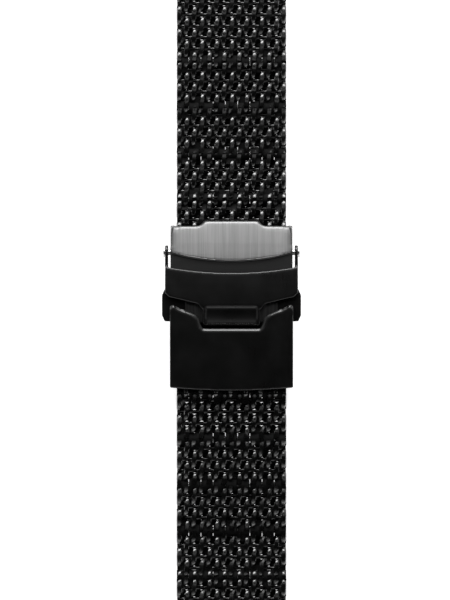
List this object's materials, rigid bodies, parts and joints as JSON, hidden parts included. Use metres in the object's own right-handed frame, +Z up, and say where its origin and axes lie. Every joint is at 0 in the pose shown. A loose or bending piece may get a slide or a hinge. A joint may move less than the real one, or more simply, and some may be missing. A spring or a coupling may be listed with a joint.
{
  "type": "mesh watch band",
  "caption": "Black steel mesh watch band with removable pinned links, a fold-over clasp with push buttons and flip lock, and sprung lug bars.",
  "frame": {"origin": "on the surface that the band lies on, at the middle of its width and length", "axes": "+X across the strap, +Y along it from the 6 o'clock end to the 12 o'clock end, +Z up out of the clasp's face"},
  "size_m": [0.0252, 0.1698, 0.0077],
  "materials": {
    "black_mesh": "gloss black coated steel wire",
    "satin_black": "satin black coated steel",
    "brushed_grey": "dark brushed steel, lines along the strap",
    "blade_steel": "dark brushed steel",
    "pin_steel": "plain turned steel"
  },
  "bodies": {
    "clasp_base": {"end_housing": "brushed_grey", "inner_blade": "blade_steel", "blade_rivets": "pin_steel", "latch_frame": "blade_steel", "button_spring": "pin_steel", "flip_lock_pin": "satin_black", "housing_pin": "pin_steel", "knee_pin": "pin_steel"},
    "push_button_left": {"push_button_left": "satin_black"},
    "push_button_right": {"push_button_right": "satin_black"},
    "flip_lock": {"flip_lock": "satin_black"},
    "middle_blade": {"middle_blade": "blade_steel"},
    "clasp_cover": {"clasp_cover": "satin_black", "cover_hinge_pin": "pin_steel", "adjusting_bar": "pin_steel", "adjusting_spring": "pin_steel"},
    "adjusting_tip_left": {"adjusting_tip_left": "pin_steel"},
    "adjusting_tip_right": {"adjusting_tip_right": "pin_steel"},
    "upper_link_1": {"upper_link_1": "black_mesh", "upper_link_pin_1": "pin_steel"},
    "upper_link_2": {"upper_link_2": "black_mesh", "upper_link_pin_2": "pin_steel"},
    "upper_link_3": {"upper_link_3": "black_mesh", "upper_link_pin_3": "pin_steel"},
    "upper_link_4": {"upper_link_4": "black_mesh", "upper_link_pin_4": "pin_steel"},
    "upper_mesh_strap": {"upper_mesh_strap": "black_mesh", "upper_lug_bar": "pin_steel", "upper_lug_spring": "pin_steel"},
    "upper_lug_tip_left": {"upper_lug_tip_left": "pin_steel"},
    "upper_lug_tip_right": {"upper_lug_tip_right": "pin_steel"},
    "lower_link_1": {"lower_link_1": "black_mesh", "lower_link_pin_1": "pin_steel"},
    "lower_link_2": {"lower_link_2": "black_mesh", "lower_link_pin_2": "pin_steel"},
    "lower_link_3": {"lower_link_3": "black_mesh", "lower_link_pin_3": "pin_steel"},
    "lower_link_4": {"lower_link_4": "black_mesh", "lower_link_pin_4": "pin_steel"},
    "lower_link_5": {"lower_link_5": "black_mesh", "lower_link_pin_5": "pin_steel"},
    "lower_mesh_strap": {"lower_mesh_strap": "black_mesh", "lower_lug_bar": "pin_steel", "lower_lug_spring": "pin_steel"},
    "lower_lug_tip_left": {"lower_lug_tip_left": "pin_steel"},
    "lower_lug_tip_right": {"lower_lug_tip_right": "pin_steel"}
  },
  "joints": [
    {"name": "clasp_fold", "type": "hinge", "parent": "clasp_base", "child": "middle_blade", "pos_m": [0, -0.01326, 0.001], "axis": [1, 0, 0], "range_deg": [0, 175]},
    {"name": "cover_fold", "type": "hinge", "parent": "middle_blade", "child": "clasp_cover", "pos_m": [0, -0.00341, 0.00314], "axis": [1, 0, 0], "range_deg": [-175, 0]},
    {"name": "flip_lock_hinge", "type": "hinge", "parent": "clasp_base", "child": "flip_lock", "pos_m": [0, 0.01104, 0.00494], "axis": [-1, 0, 0], "range_deg": [0, 115]},
    {"name": "push_button_left_slide", "type": "slide", "parent": "clasp_base", "child": "push_button_left", "axis": [1, 0, 0], "range_m": [0, 0.0008], "stiffness_N_per_m": 500, "springref_m": -0.001},
    {"name": "push_button_right_slide", "type": "slide", "parent": "clasp_base", "child": "push_button_right", "axis": [-1, 0, 0], "range_m": [0, 0.0008], "stiffness_N_per_m": 500, "springref_m": -0.001},
    {"name": "adjusting_tip_left_slide", "type": "slide", "parent": "clasp_cover", "child": "adjusting_tip_left", "axis": [1, 0, 0], "range_m": [0, 0.001], "stiffness_N_per_m": 400, "springref_m": -0.001},
    {"name": "adjusting_tip_right_slide", "type": "slide", "parent": "clasp_cover", "child": "adjusting_tip_right", "axis": [-1, 0, 0], "range_m": [0, 0.001], "stiffness_N_per_m": 400, "springref_m": -0.001},
    {"name": "upper_link_1_bend", "type": "hinge", "parent": "clasp_base", "child": "upper_link_1", "pos_m": [0, 0.01239, 0.00309], "axis": [-1, 0, 0], "range_deg": [-4, 20]},
    {"name": "upper_link_2_bend", "type": "hinge", "parent": "upper_link_1", "child": "upper_link_2", "pos_m": [0, 0.0207, 0.00221], "axis": [-1, 0, 0], "range_deg": [-7.9, 25.1]},
    {"name": "upper_link_3_bend", "type": "hinge", "parent": "upper_link_2", "child": "upper_link_3", "pos_m": [0, 0.02903, 0.0015], "axis": [-1, 0, 0], "range_deg": [-4.1, 28.9]},
    {"name": "upper_link_4_bend", "type": "hinge", "parent": "upper_link_3", "child": "upper_link_4", "pos_m": [0, 0.03739, 0.0015], "axis": [-1, 0, 0], "range_deg": [-9, 24]},
    {"name": "upper_mesh_strap_bend", "type": "hinge", "parent": "upper_link_4", "child": "upper_mesh_strap", "pos_m": [0, 0.04575, 0.0015], "axis": [-1, 0, 0], "range_deg": [-9, 24]},
    {"name": "upper_lug_tip_left_slide", "type": "slide", "parent": "upper_mesh_strap", "child": "upper_lug_tip_left", "axis": [1, 0, 0], "range_m": [0, 0.001], "stiffness_N_per_m": 400, "springref_m": -0.001},
    {"name": "upper_lug_tip_right_slide", "type": "slide", "parent": "upper_mesh_strap", "child": "upper_lug_tip_right", "axis": [-1, 0, 0], "range_m": [0, 0.001], "stiffness_N_per_m": 400, "springref_m": -0.001},
    {"name": "lower_link_1_bend", "type": "hinge", "parent": "clasp_cover", "child": "lower_link_1", "pos_m": [0, -0.00621, 0.00466], "axis": [1, 0, 0], "range_deg": [-1.2, 1.2]},
    {"name": "lower_link_2_bend", "type": "hinge", "parent": "lower_link_1", "child": "lower_link_2", "pos_m": [0, -0.0145, 0.00356], "axis": [1, 0, 0], "range_deg": [-3.4, 29.6]},
    {"name": "lower_link_3_bend", "type": "hinge", "parent": "lower_link_2", "child": "lower_link_3", "pos_m": [0, -0.02285, 0.00327], "axis": [1, 0, 0], "range_deg": [-13, 20]},
    {"name": "lower_link_4_bend", "type": "hinge", "parent": "lower_link_3", "child": "lower_link_4", "pos_m": [0, -0.03117, 0.0024], "axis": [1, 0, 0], "range_deg": [-9, 24]},
    {"name": "lower_link_5_bend", "type": "hinge", "parent": "lower_link_4", "child": "lower_link_5", "pos_m": [0, -0.03948, 0.00152], "axis": [1, 0, 0], "range_deg": [-3.2, 29.8]},
    {"name": "lower_mesh_strap_bend", "type": "hinge", "parent": "lower_link_5", "child": "lower_mesh_strap", "pos_m": [0, -0.04784, 0.0015], "axis": [1, 0, 0], "range_deg": [-8.8, 24.2]},
    {"name": "lower_lug_tip_left_slide", "type": "slide", "parent": "lower_mesh_strap", "child": "lower_lug_tip_left", "axis": [1, 0, 0], "range_m": [0, 0.001], "stiffness_N_per_m": 400, "springref_m": -0.001},
    {"name": "lower_lug_tip_right_slide", "type": "slide", "parent": "lower_mesh_strap", "child": "lower_lug_tip_right", "axis": [-1, 0, 0], "range_m": [0, 0.001], "stiffness_N_per_m": 400, "springref_m": -0.001}
  ],
  "couplings": [
    {"joint": "cover_fold", "follows": "clasp_fold", "ratio": -1}
  ]
}
